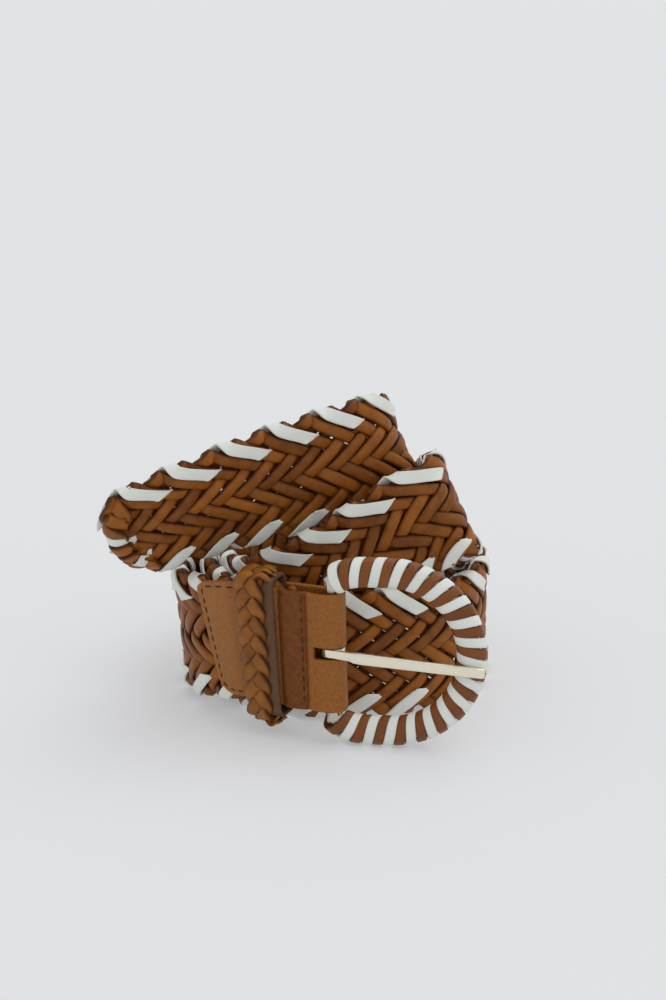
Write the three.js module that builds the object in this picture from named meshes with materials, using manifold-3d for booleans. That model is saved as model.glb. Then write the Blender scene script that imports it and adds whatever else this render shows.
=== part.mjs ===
// Braided leather belt, rolled up and standing on its edge, with a laced buckle at the front.
// Millimetres, X to the right, Y away from the front, Z up, floor at Z = 0.
import * as THREE from "three";
import { mergeVertices } from "three/addons/utils/BufferGeometryUtils.js";
import Module from "manifold-3d";

// Strap
const STRAP_WIDTH = 40;
const STRAP_THICKNESS = 4.5;
const STRAP_LENGTH = 784;
const EDGE_ROUNDING = 1.4;
const TIP_TAPER = 19;
const TIP_FULLNESS = 2.6;
const LAYER_GAP = 0.5;

// Roll
const ROLL_WIDTH = 95;
const ROLL_DEPTH = 88;
const ROLL_MIDDLE = 45;

// Leather end at the buckle
const TAB_WIDTH = 36;
const TAB_LENGTH = 29;
const TAB_THICKNESS = 1.6;
const TAB_CORNER = 4;
const FOLD_THICKNESS = 1.7;
const FOLD_FRONT = 9.6;
const FOLD_BACK = 16.5;
const PIECE_GAP = 0.3;

// Keeper loop
const LOOP_PLACE = 22.5;
const LOOP_WIDTH = 10;
const LOOP_THICKNESS = 3.5;
const LOOP_BACK_THICKNESS = 2.2;
const LOOP_CLEARANCE = 0.4;

// Buckle
const BAR_RADIUS = 2;
const BUCKLE_HEIGHT = 57.4;
const BUCKLE_REACH = 45;
const BAND_WIDTH = 9;
const BAND_THICKNESS = 7;
const BAR_SHOW = 2.6;
const WRAP_THICKNESS = 1.3;
const BUCKLE_TURN = 17;
const PRONG_WIDTH = 3;
const PRONG_THICKNESS = 1.6;
const PRONG_EYE_WIDTH = 3.4;
const PRONG_DROP = 5;
const SLOT_WIDTH = 5;
const SLOT_REACH = 5.2;

// Finishes
const FINISH = {
  braid: { color: 0x8c552d, roughness: 0.55, metalness: 0 },
  tab: { color: 0x94603a, roughness: 0.6, metalness: 0 },
  fold: { color: 0x8f5a35, roughness: 0.6, metalness: 0 },
  loop: { color: 0x86502c, roughness: 0.45, metalness: 0 },
  wrap: { color: 0xd7dacb, roughness: 0.5, metalness: 0 },
  steel: { color: 0xb9b2a0, roughness: 0.3, metalness: 1 },
  prong: { color: 0xd9cfb4, roughness: 0.25, metalness: 1 },
};

// Route of the strap's middle line, as control rows of a smooth curve.
// Buckle run: across and back are shares of the roll's width and depth, rise a share of the strap's width.
const BUCKLE_RUN = [
  { across: 0.153, back: -0.278, rise: 0.725, leanLeft: -0.06, leanBack: 0.03, spread: 1 },
  { across: 0, back: -0.193, rise: 0.715, leanLeft: -0.06, leanBack: 0.03, spread: 1 },
  { across: -0.147, back: -0.117, rise: 0.705, leanLeft: -0.05, leanBack: 0, spread: 1 },
  { across: -0.289, back: -0.04, rise: 0.682, leanLeft: -0.03, leanBack: -0.07, spread: 1 },
];

// Roll: turn is the angle in degrees from the left end by way of the back, reach a share of the
// roll's half size before the layers outside are taken off.
const ROLL = [
  { turn: -49, reach: 1.212, rise: 0.63, leanLeft: -0.05, leanBack: -0.2, spread: 1 },
  { turn: -32, reach: 1.112, rise: 0.545, leanLeft: -0.09, leanBack: -0.16, spread: 1 },
  { turn: -9, reach: 0.968, rise: 0.512, leanLeft: -0.07, leanBack: -0.05, spread: 1 },
  { turn: 21, reach: 0.964, rise: 0.505, leanLeft: -0.04, leanBack: 0, spread: 1 },
  { turn: 55, reach: 0.998, rise: 0.5, leanLeft: 0, leanBack: 0, spread: 1 },
  { turn: 90, reach: 1.04, rise: 0.5, leanLeft: 0, leanBack: 0, spread: 1 },
  { turn: 123, reach: 1.041, rise: 0.5, leanLeft: 0, leanBack: 0, spread: 1 },
  { turn: 156, reach: 1.04, rise: 0.5, leanLeft: 0, leanBack: 0, spread: 1 },
  { turn: 189, reach: 1.078, rise: 0.5, leanLeft: 0, leanBack: 0, spread: 1 },
  { turn: 219, reach: 1.142, rise: 0.5, leanLeft: 0, leanBack: 0.02, spread: 1 },
  { turn: 244, reach: 1.102, rise: 0.5, leanLeft: 0, leanBack: 0.05, spread: 1 },
  { turn: 268, reach: 1.074, rise: 0.5, leanLeft: 0, leanBack: 0.06, spread: 1 },
  { turn: 291, reach: 1.075, rise: 0.5, leanLeft: 0, leanBack: 0.06, spread: 1 },
  { turn: 314, reach: 1.036, rise: 0.5, leanLeft: 0, leanBack: 0.02, spread: 1 },
  { turn: 344, reach: 0.962, rise: 0.5, leanLeft: -0.05, leanBack: 0, spread: 1 },
  { turn: 377, reach: 0.918, rise: 0.5, leanLeft: -0.03, leanBack: 0, spread: 1 },
  { turn: 414, reach: 0.92, rise: 0.575, leanLeft: -0.1, leanBack: 0.1, spread: 1 },
  { turn: 455, reach: 0.931, rise: 0.762, leanLeft: -0.25, leanBack: 0.2, spread: 1 },
  { turn: 494, reach: 0.947, rise: 0.975, leanLeft: -0.33, leanBack: 0.3, spread: 0.97 },
  { turn: 526, reach: 0.87, rise: 1.17, leanLeft: -0.38, leanBack: 0.4, spread: 0.92 },
  { turn: 556, reach: 0.889, rise: 1.373, leanLeft: -0.38, leanBack: 0.36, spread: 0.88 },
  { turn: 572, reach: 1.099, rise: 1.538, leanLeft: -0.4, leanBack: 0.26, spread: 0.85 },
  { turn: 584, reach: 1.194, rise: 1.552, leanLeft: -0.42, leanBack: 0, spread: 0.85 },
  { turn: 595, reach: 1.082, rise: 1.46, leanLeft: -0.43, leanBack: -0.2, spread: 0.88 },
  { turn: 611, reach: 1.002, rise: 1.218, leanLeft: -0.45, leanBack: -0.2, spread: 0.95 },
  { turn: 627, reach: 0.976, rise: 1, leanLeft: -0.47, leanBack: -0.15, spread: 1 },
  { turn: 649, reach: 0.981, rise: 0.78, leanLeft: -0.4, leanBack: -0.05, spread: 1 },
  { turn: 673, reach: 0.932, rise: 0.6, leanLeft: -0.25, leanBack: 0, spread: 1 },
  { turn: 702, reach: 0.897, rise: 0.55, leanLeft: -0.15, leanBack: 0, spread: 1 },
  { turn: 733, reach: 0.82, rise: 0.625, leanLeft: -0.2, leanBack: 0.1, spread: 1 },
  { turn: 775, reach: 0.728, rise: 0.85, leanLeft: -0.3, leanBack: 0.3, spread: 1 },
  { turn: 822, reach: 0.632, rise: 1.2, leanLeft: -0.4, leanBack: 0.38, spread: 1 },
  { turn: 882, reach: 0.641, rise: 1.57, leanLeft: -0.42, leanBack: 0.4, spread: 0.96 },
  { turn: 925, reach: 0.832, rise: 1.845, leanLeft: -0.44, leanBack: 0.3, spread: 0.94 },
  { turn: 956, reach: 0.874, rise: 1.9, leanLeft: -0.36, leanBack: 0, spread: 0.95 },
];

// Free end: across is a share of the roll's width, layers how many strap layers lie before it.
const FREE_END = [
  { across: -0.021, layers: 3.4, rise: 1.835, leanLeft: -0.33, leanBack: -0.2, spread: 0.96 },
  { across: -0.179, layers: 2.6, rise: 1.765, leanLeft: -0.33, leanBack: -0.33, spread: 0.96 },
  { across: -0.326, layers: 1.66, rise: 1.677, leanLeft: -0.32, leanBack: -0.42, spread: 0.96 },
  { across: -0.474, layers: 1.3, rise: 1.56, leanLeft: -0.31, leanBack: -0.48, spread: 0.95 },
  { across: -0.621, layers: 1, rise: 1.432, leanLeft: -0.3, leanBack: -0.5, spread: 0.94 },
  { across: -0.768, layers: 0.7, rise: 1.295, leanLeft: -0.3, leanBack: -0.5, spread: 0.9 },
  { across: -0.916, layers: 0.4, rise: 1.155, leanLeft: -0.3, leanBack: -0.5, spread: 0.86 },
];

const LAYER_PITCH = STRAP_THICKNESS + LAYER_GAP;
const CURVE_STEPS_PER_ROW = 24;
const STRAP_STEP = 3.4;
const LEATHER_STEP = 1.7;

// One control row as numbers: place, lean and spread.
function rowValues(row, across, back) {
  return [across, back, row.rise * STRAP_WIDTH, row.leanLeft, row.leanBack, row.spread];
}

function controlRows() {
  const run = BUCKLE_RUN.map((row) =>
    rowValues(row, row.across * ROLL_WIDTH, row.back * ROLL_DEPTH));
  const roll = ROLL.map((row) => {
    const angle = THREE.MathUtils.degToRad(row.turn);
    const inset = (LAYER_PITCH * row.turn) / 360;
    const halfWidth = (ROLL_WIDTH / 2) * row.reach - inset;
    const halfDepth = (ROLL_DEPTH / 2) * row.reach - inset;
    return rowValues(row, -Math.cos(angle) * halfWidth, ROLL_MIDDLE + Math.sin(angle) * halfDepth);
  });
  const end = FREE_END.map((row) =>
    rowValues(row, row.across * ROLL_WIDTH, row.layers * LAYER_PITCH));
  return [...run, ...roll, ...end];
}

// Uniform cubic B-spline through the control rows, sampled closely.
function sampleRoute(rows) {
  const samples = [];
  for (let i = 1; i < rows.length - 2; i += 1) {
    for (let k = 0; k < CURVE_STEPS_PER_ROW; k += 1) {
      const u = k / CURVE_STEPS_PER_ROW;
      const weights = [
        (1 - u) ** 3,
        3 * u ** 3 - 6 * u * u + 4,
        -3 * u ** 3 + 3 * u * u + 3 * u + 1,
        u ** 3,
      ];
      const value = rows[0].map((unused, c) =>
        weights.reduce((sum, weight, j) => sum + (weight / 6) * rows[i - 1 + j][c], 0));
      samples.push(value);
    }
  }
  return samples;
}

// The route by length: at(length) gives the middle point, the direction along the strap, the
// direction across it (toward its top edge), the outward direction and the spread.
function makeRoute() {
  const samples = sampleRoute(controlRows());
  const points = samples.map((s) => new THREE.Vector3(s[0], s[1], s[2]));
  const lengths = [0];
  for (let i = 1; i < points.length; i += 1) {
    lengths.push(lengths[i - 1] + points[i].distanceTo(points[i - 1]));
  }
  const tangents = points.map((point, i) => {
    const next = points[Math.min(i + 1, points.length - 1)];
    return next.clone().sub(points[Math.max(i - 1, 0)]).normalize();
  });
  return function at(length) {
    let i = 0;
    while (i < lengths.length - 2 && lengths[i + 1] < length) {
      i += 1;
    }
    const t = (length - lengths[i]) / (lengths[i + 1] - lengths[i]);
    const middle = points[i].clone().lerp(points[i + 1], t);
    const inside = THREE.MathUtils.clamp(t, 0, 1);
    const along = tangents[i].clone().lerp(tangents[i + 1], inside).normalize();
    const lerpValue = (c) => THREE.MathUtils.lerp(samples[i][c], samples[i + 1][c], inside);
    const [left, back] = [lerpValue(3), lerpValue(4)];
    const top = new THREE.Vector3(left, back, Math.sqrt(1 - left * left - back * back));
    top.addScaledVector(along, -top.dot(along)).normalize();
    const out = top.clone().cross(along).normalize();
    return { middle, along, top, out, spread: lerpValue(5) };
  };
}

const routeAt = makeRoute();

// A point beside the strap's middle line: height toward the top edge, out away from the roll.
function beside(length, height, out) {
  const station = routeAt(length);
  return station.middle.clone().addScaledVector(station.top, height).addScaledVector(station.out, out);
}

function evenSteps(from, to, step) {
  const count = Math.max(1, Math.round((to - from) / step));
  return Array.from({ length: count + 1 }, (unused, i) => from + ((to - from) * i) / count);
}

// Closed solid through rings of points; each ring runs the same way round. Ends are capped with
// the triangles of capOutline, or the last ring joins the first.
function solidThroughRings(rings, { closed = false, capOutline = null } = {}) {
  const count = rings[0].length;
  const positions = rings.flat().flatMap((p) => [p.x, p.y, p.z]);
  const index = [];
  const last = closed ? rings.length : rings.length - 1;
  for (let r = 0; r < last; r += 1) {
    const next = (r + 1) % rings.length;
    for (let i = 0; i < count; i += 1) {
      const j = (i + 1) % count;
      index.push(r * count + i, r * count + j, next * count + j);
      index.push(r * count + i, next * count + j, next * count + i);
    }
  }
  if (!closed) {
    const end = (rings.length - 1) * count;
    for (const [a, b, c] of THREE.ShapeUtils.triangulateShape(capOutline, [])) {
      index.push(c, b, a);
      index.push(end + a, end + b, end + c);
    }
  }
  const geometry = new THREE.BufferGeometry();
  geometry.setAttribute("position", new THREE.Float32BufferAttribute(positions, 3));
  geometry.setIndex(index);
  return facingOut(geometry);
}

function signedVolume(geometry) {
  const position = geometry.getAttribute("position");
  const index = geometry.getIndex();
  const [a, b, c] = [new THREE.Vector3(), new THREE.Vector3(), new THREE.Vector3()];
  let volume = 0;
  for (let i = 0; i < index.count; i += 3) {
    a.fromBufferAttribute(position, index.getX(i));
    b.fromBufferAttribute(position, index.getX(i + 1));
    c.fromBufferAttribute(position, index.getX(i + 2));
    volume += a.dot(b.cross(c)) / 6;
  }
  return volume;
}

function facingOut(geometry) {
  if (signedVolume(geometry) < 0) {
    const index = geometry.getIndex();
    for (let i = 0; i < index.count; i += 3) {
      const first = index.getX(i);
      index.setX(i, index.getX(i + 1));
      index.setX(i + 1, first);
    }
  }
  return geometry;
}

// Section of a flat strip with eased edges, as height and out pairs.
function stripSection(width, thickness, easing) {
  const [h, t] = [width / 2, thickness / 2];
  const edge = Math.min(easing, t * 0.7);
  return [
    [-h + easing, -t], [h - easing, -t], [h, -t + edge], [h, t - edge],
    [h - easing, t], [-h + easing, t], [-h, t - edge], [-h, -t + edge],
  ].map(([height, out]) => new THREE.Vector2(height, out));
}

// Strip laid along the route from one length to another, offset outward; share(length) narrows it.
function stripAlongRoute({ from, to, step, section, offset = 0, share = () => 1 }) {
  const rings = evenSteps(from, to, step).map((length) => {
    const width = share(length);
    return section.map((p) => beside(length, p.x * width, offset + p.y));
  });
  return solidThroughRings(rings, { capOutline: section });
}

// Share of full width at a distance from a rounded end.
function roundedShare(distance, taper, fullness) {
  if (distance >= taper) return 1;
  const rest = 1 - Math.max(distance, 0.02 * taper) / taper;
  return (1 - rest ** fullness) ** (1 / fullness);
}

function braidedStrap() {
  const from = FOLD_FRONT + PIECE_GAP;
  return stripAlongRoute({
    from,
    to: STRAP_LENGTH,
    step: STRAP_STEP,
    section: stripSection(STRAP_WIDTH, STRAP_THICKNESS, EDGE_ROUNDING),
    share: (length) => routeAt(length).spread * roundedShare(STRAP_LENGTH - length, TIP_TAPER, TIP_FULLNESS),
  });
}

const TAB_OFFSET = STRAP_THICKNESS / 2 + PIECE_GAP + TAB_THICKNESS / 2;

function frontTab() {
  const from = FOLD_FRONT + PIECE_GAP;
  const to = from + TAB_LENGTH;
  const corner = (length) => {
    const distance = Math.max(to - length, 0);
    if (distance >= TAB_CORNER) return 1;
    const cut = TAB_CORNER - Math.sqrt(TAB_CORNER ** 2 - (TAB_CORNER - distance) ** 2);
    return 1 - (2 * cut) / TAB_WIDTH;
  };
  const lengths = [
    ...evenSteps(from, to - TAB_CORNER, LEATHER_STEP),
    ...[0.55, 0.25, 0.08, 0].map((share) => to - TAB_CORNER * share),
  ];
  const section = stripSection(TAB_WIDTH, TAB_THICKNESS, TAB_THICKNESS / 4);
  const rings = lengths.map((length) =>
    section.map((p) => beside(length, p.x * corner(length), TAB_OFFSET + p.y)));
  return solidThroughRings(rings, { capOutline: section });
}

// Outline of the leather fold seen from above: along the strap (negative past the bar) and out.
function foldOutline() {
  const inner = BAR_RADIUS + PIECE_GAP;
  const outer = inner + FOLD_THICKNESS;
  const legInner = STRAP_THICKNESS / 2 + PIECE_GAP;
  const legOuter = legInner + TAB_THICKNESS;
  const bend = (radius, from, to) => Array.from({ length: 9 }, (unused, i) => {
    const angle = THREE.MathUtils.degToRad(from + ((to - from) * i) / 8);
    return new THREE.Vector2(-Math.cos(angle) * radius, Math.sin(angle) * radius);
  });
  const straightSteps = (from, to, out) => evenSteps(from, to, LEATHER_STEP * 1.6)
    .map((length) => new THREE.Vector2(length, out));
  return [
    ...straightSteps(FOLD_FRONT, BAR_RADIUS, legOuter),
    ...bend(outer, 90, -90),
    ...straightSteps(BAR_RADIUS, FOLD_BACK, -legOuter),
    ...straightSteps(FOLD_BACK, BAR_RADIUS, -legInner),
    ...bend(inner, -90, 90),
    ...straightSteps(BAR_RADIUS, FOLD_FRONT, legInner),
  ];
}

function buckleFold(wasm) {
  const outline = foldOutline();
  const rings = [-TAB_WIDTH / 2, TAB_WIDTH / 2].map((height) =>
    outline.map((p) => beside(p.x, height, p.y)));
  const fold = solidThroughRings(rings, { capOutline: outline });
  const cutter = new THREE.BoxGeometry(2 * SLOT_REACH, SLOT_WIDTH, 40);
  cutter.applyMatrix4(buckleFrame(0));
  return fromManifold(toManifold(wasm, fold).subtract(toManifold(wasm, cutter)));
}

// Local frame of the buckle at its bar: X along the ring's reach, Y up the bar, Z toward the front,
// turned about the bar by an angle in degrees.
function buckleFrame(turn) {
  const { middle, along, top, out } = routeAt(0);
  const matrix = new THREE.Matrix4().makeBasis(along.clone().negate(), top, out);
  matrix.setPosition(middle);
  return matrix.multiply(new THREE.Matrix4().makeRotationY(THREE.MathUtils.degToRad(turn)));
}

// Keeper loop: a band of rounded section bent round the strap and the tab.
function keeperLoop() {
  const half = STRAP_WIDTH / 2 + LOOP_CLEARANCE;
  const front = TAB_OFFSET + TAB_THICKNESS / 2 + LOOP_CLEARANCE;
  const back = -STRAP_THICKNESS / 2 - LOOP_CLEARANCE;
  const corner = 1.6;
  const cornerPoints = (height, out, quarter) => [0, 45, 90].map((degrees) => {
    const angle = THREE.MathUtils.degToRad(degrees + quarter * 90);
    return {
      inner: new THREE.Vector2(height + corner * Math.cos(angle), out + corner * Math.sin(angle)),
      away: new THREE.Vector2(Math.cos(angle), Math.sin(angle)),
    };
  });
  const path = [
    ...cornerPoints(half - corner, front - corner, 0),
    ...cornerPoints(-half + corner, front - corner, 1),
    ...cornerPoints(-half + corner, back + corner, 2),
    ...cornerPoints(half - corner, back + corner, 3),
  ];
  const halfWidth = LOOP_WIDTH / 2;
  const section = [[-1, 0], [-1, 0.55], [-0.55, 1], [0.55, 1], [1, 0.55], [1, 0]];
  const rings = path.map(({ inner, away }) => {
    const thickness = away.y < -0.5 ? LOOP_BACK_THICKNESS : LOOP_THICKNESS;
    return section.map(([side, depth]) => {
      const place = inner.clone().addScaledVector(away, depth * thickness);
      return beside(LOOP_PLACE + side * halfWidth, place.x, place.y);
    });
  });
  return solidThroughRings(rings, { closed: true });
}

// Middle line of the buckle's ring in its own plane, from the bar's upper end round to its lower end.
function ringPath() {
  const halfHeight = (BUCKLE_HEIGHT - BAND_WIDTH) / 2;
  const start = TAB_WIDTH / 2 + BAR_SHOW;
  const rise = halfHeight - start;
  const shoulder = 3 * rise;
  const centre = BUCKLE_REACH - BAND_WIDTH / 2 - halfHeight;
  const upper = [
    [0, start],
    [0.45 * rise, start + 0.74 * rise],
    [1.7 * rise, halfHeight],
    [shoulder, halfHeight],
  ].map(([across, height]) => new THREE.Vector2(across, height));
  const lower = upper.map((point) => new THREE.Vector2(point.x, -point.y)).reverse();
  const path = new THREE.CurvePath();
  path.add(new THREE.CubicBezierCurve(...upper));
  path.add(new THREE.LineCurve(upper[3], new THREE.Vector2(centre, halfHeight)));
  path.add(new THREE.EllipseCurve(centre, 0, halfHeight, halfHeight, Math.PI / 2, -Math.PI / 2, true));
  path.add(new THREE.LineCurve(new THREE.Vector2(centre, -halfHeight), lower[0]));
  path.add(new THREE.CubicBezierCurve(...lower));
  return path;
}

// Rings of an oval section square to the ring's path, as points in the buckle's own frame.
function ovalRings(path, shares, halfWidth, halfThickness, sides) {
  return shares.map((share) => {
    const point = path.getPointAt(share);
    const tangent = path.getTangentAt(share);
    const normal = new THREE.Vector2(-tangent.y, tangent.x);
    return Array.from({ length: sides }, (unused, i) => {
      const angle = (2 * Math.PI * i) / sides;
      const offset = Math.cos(angle) * halfWidth;
      return new THREE.Vector3(
        point.x + normal.x * offset, point.y + normal.y * offset, Math.sin(angle) * halfThickness);
    });
  });
}

const CORE_HALF_WIDTH = BAND_WIDTH / 2 - WRAP_THICKNESS - PIECE_GAP;
const CORE_HALF_THICKNESS = BAND_THICKNESS / 2 - WRAP_THICKNESS - PIECE_GAP;
const RING_STEPS = 40;
const WRAP_STEPS = 44;

// Steel ring with its straight bar, one closed piece.
function buckleRing() {
  const path = ringPath();
  const shares = evenSteps(0, 1, 1 / RING_STEPS);
  const sides = 12;
  const ring = ovalRings(path, shares, CORE_HALF_WIDTH, CORE_HALF_THICKNESS, sides);
  const barHalf = TAB_WIDTH / 2 + PIECE_GAP;
  const bar = [-barHalf, 0, barHalf].map((height) => Array.from({ length: sides }, (unused, i) => {
    const angle = (2 * Math.PI * i) / sides;
    return new THREE.Vector3(-Math.cos(angle) * BAR_RADIUS, height, Math.sin(angle) * BAR_RADIUS);
  }));
  return solidThroughRings([...ring, ...bar], { closed: true });
}

// Leather lace wound on the ring: a tube open at both ends, where the bar comes out.
function buckleWrap() {
  const path = ringPath();
  const shares = evenSteps(0, 1, 1 / WRAP_STEPS);
  const sides = 12;
  const outer = ovalRings(path, shares, BAND_WIDTH / 2, BAND_THICKNESS / 2, sides);
  const innerHalfWidth = BAND_WIDTH / 2 - WRAP_THICKNESS;
  const innerHalfThickness = BAND_THICKNESS / 2 - WRAP_THICKNESS;
  const inner = ovalRings(path, shares, innerHalfWidth, innerHalfThickness, sides);
  return solidThroughRings([...outer, ...inner.reverse()], { closed: true });
}

// Rows along the prong from the bar to the tip: reach and lift are shares of the tip's, and width
// and thickness shares of the prong's.
const PRONG = [
  { reach: 0, lift: 0.62, width: 0.72, thickness: 0.9 },
  { reach: 0.12, lift: 0.75, width: 0.72, thickness: 0.9 },
  { reach: 0.17, lift: 0.85, width: 1, thickness: 1 },
  { reach: 0.6, lift: 1, width: 1, thickness: 1 },
  { reach: 0.92, lift: 1, width: 1, thickness: 0.9 },
  { reach: 1, lift: 0.97, width: 0.85, thickness: 0.6 },
];

function prong(wasm) {
  const tipReach = BUCKLE_REACH - 0.4;
  const tipLift = BAND_THICKNESS / 2 + PIECE_GAP + PRONG_THICKNESS / 2;
  const fall = Math.tan(THREE.MathUtils.degToRad(PRONG_DROP));
  const section = stripSection(1, 1, 0.22);
  const arm = solidThroughRings(PRONG.map((row) => section.map((p) => new THREE.Vector3(
    row.reach * tipReach,
    p.x * row.width * PRONG_WIDTH - row.reach * tipReach * fall,
    row.lift * tipLift + p.y * row.thickness * PRONG_THICKNESS,
  ))), { capOutline: section });
  const inner = BAR_RADIUS + PIECE_GAP;
  const outer = inner + PRONG_THICKNESS * 0.85;
  const eye = new THREE.LatheGeometry([
    new THREE.Vector2(inner, -PRONG_EYE_WIDTH / 2), new THREE.Vector2(outer, -PRONG_EYE_WIDTH / 2),
    new THREE.Vector2(outer, PRONG_EYE_WIDTH / 2), new THREE.Vector2(inner, PRONG_EYE_WIDTH / 2),
    new THREE.Vector2(inner, -PRONG_EYE_WIDTH / 2),
  ], 24);
  const bore = new THREE.CylinderGeometry(inner, inner, PRONG_EYE_WIDTH * 2, 24);
  const solid = toManifold(wasm, arm).add(toManifold(wasm, eye)).subtract(toManifold(wasm, bore));
  return fromManifold(solid);
}

function toManifold(wasm, geometry) {
  const bare = geometry.clone();
  bare.deleteAttribute("normal");
  bare.deleteAttribute("uv");
  const merged = mergeVertices(bare, 1e-4);
  return new wasm.Manifold(new wasm.Mesh({
    numProp: 3,
    vertProperties: new Float32Array(merged.getAttribute("position").array),
    triVerts: new Uint32Array(merged.getIndex().array),
  }));
}

function fromManifold(solid) {
  const mesh = solid.getMesh();
  const geometry = new THREE.BufferGeometry();
  geometry.setAttribute("position", new THREE.BufferAttribute(new Float32Array(mesh.vertProperties), 3));
  geometry.setIndex(new THREE.BufferAttribute(new Uint32Array(mesh.triVerts), 1));
  return geometry;
}

function piece(name, geometry, finish) {
  const shaded = geometry.clone();
  shaded.computeVertexNormals();
  const mesh = new THREE.Mesh(shaded, new THREE.MeshStandardMaterial(finish));
  mesh.name = name;
  return mesh;
}

const wasm = await Module();
wasm.setup();

const buckle = new THREE.Group();
buckle.applyMatrix4(buckleFrame(BUCKLE_TURN));
buckle.add(piece("buckle_ring", buckleRing(), FINISH.steel));
buckle.add(piece("buckle_wrap", buckleWrap(), FINISH.wrap));
buckle.add(piece("prong", prong(wasm), FINISH.prong));

const belt = new THREE.Group();
belt.add(piece("braided_strap", braidedStrap(), FINISH.braid));
belt.add(piece("front_tab", frontTab(), FINISH.tab));
belt.add(piece("buckle_fold", buckleFold(wasm), FINISH.fold));
belt.add(piece("keeper_loop", keeperLoop(), FINISH.loop));
belt.add(buckle);

// The middle of the belt's footprint on the floor is the origin.
const box = new THREE.Box3().setFromObject(belt, true);
const centre = box.getCenter(new THREE.Vector3());
belt.position.set(-centre.x, -centre.y, -box.min.z);

export default belt;
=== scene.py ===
"""Looks of a braided leather belt, rolled up on its edge, with a laced buckle at the front.

Sizes are in millimetres and become metres where a mesh is made.
"""
import logging
import math
from dataclasses import dataclass, field
from enum import Enum

import bpy
import numpy as np
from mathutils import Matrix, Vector


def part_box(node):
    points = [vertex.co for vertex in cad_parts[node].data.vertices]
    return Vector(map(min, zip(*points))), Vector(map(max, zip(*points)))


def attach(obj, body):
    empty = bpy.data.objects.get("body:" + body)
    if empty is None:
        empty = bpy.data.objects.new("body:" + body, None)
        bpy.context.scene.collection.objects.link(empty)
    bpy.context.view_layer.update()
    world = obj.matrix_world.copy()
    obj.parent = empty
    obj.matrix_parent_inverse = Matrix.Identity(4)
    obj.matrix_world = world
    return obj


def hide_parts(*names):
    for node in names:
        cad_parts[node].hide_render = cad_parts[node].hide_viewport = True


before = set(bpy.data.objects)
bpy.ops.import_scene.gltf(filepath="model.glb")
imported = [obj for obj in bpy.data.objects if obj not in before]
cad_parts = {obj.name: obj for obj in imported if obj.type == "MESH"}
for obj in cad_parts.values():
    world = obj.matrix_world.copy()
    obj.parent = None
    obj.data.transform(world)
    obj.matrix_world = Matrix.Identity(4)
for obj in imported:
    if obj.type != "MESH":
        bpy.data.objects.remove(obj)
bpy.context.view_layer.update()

log = logging.getLogger("braided_belt")

MM = 0.001
SEED = 11
LACE_SEED = SEED + 5
TIP_SEED = SEED + 9
STITCH_SEED = SEED + 21
LOOP_SEED = SEED + 31
BUCKLE_SEED = SEED + 41

Colour = tuple[float, float, float]
Array = np.ndarray
Varying = np.ndarray | float

# Sockets of a colour mix node.
MIX_FACTOR = 0
MIX_FIRST = 6
MIX_SECOND = 7
MIX_COLOUR = 2


class Body(Enum):
    """The moving bodies that a piece can ride on."""

    BELT = "belt"
    BUCKLE = "buckle"
    PRONG = "tongue"


class Slot(Enum):
    """The record's material slots, passed along with each new piece but not applied."""

    BRAID = "tan_braid"
    TAB = "tab_leather"
    FOLD = "fold_leather"
    LOOP = "loop_leather"
    LACE = "wrap_lace"
    PRONG = "prong_metal"


class Family(Enum):
    """The two ways a strand crosses the strap, seen from outside."""

    RISING = 1
    FALLING = -1


def unit(vectors: Array) -> Array:
    """Vectors scaled to length one along the last axis."""
    return vectors / np.maximum(np.linalg.norm(vectors, axis=-1, keepdims=True), 1e-12)


def along_path(points: Array, closed: bool = False) -> Array:
    """Directions along a path of points.

    Args:
        points: The path's points, one row each.
        closed: Whether the last point is followed by the first.

    Returns:
        One unit direction for each point.
    """
    if closed:
        return unit(np.roll(points, -1, 0) - np.roll(points, 1, 0))
    return unit(np.gradient(points, axis=0))


def smooth_through(rows: Array, steps: int) -> Array:
    """A smooth curve through table rows.

    Args:
        rows: The rows that the curve passes through.
        steps: How many stretches lie between two rows.

    Returns:
        The rows of the curve, first and last as given.
    """
    padded = np.vstack([2 * rows[0] - rows[1], rows, 2 * rows[-1] - rows[-2]])
    pieces = []
    for i in range(1, len(padded) - 2):
        before, start, end, after = padded[i - 1:i + 3]
        for t in np.arange(steps) / steps:
            pieces.append(0.5 * (2 * start + (end - before) * t
                                 + (2 * before - 5 * start + 4 * end - after) * t ** 2
                                 + (3 * start - before - 3 * end + after) * t ** 3))
    pieces.append(rows[-1])
    return np.array(pieces)


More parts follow.
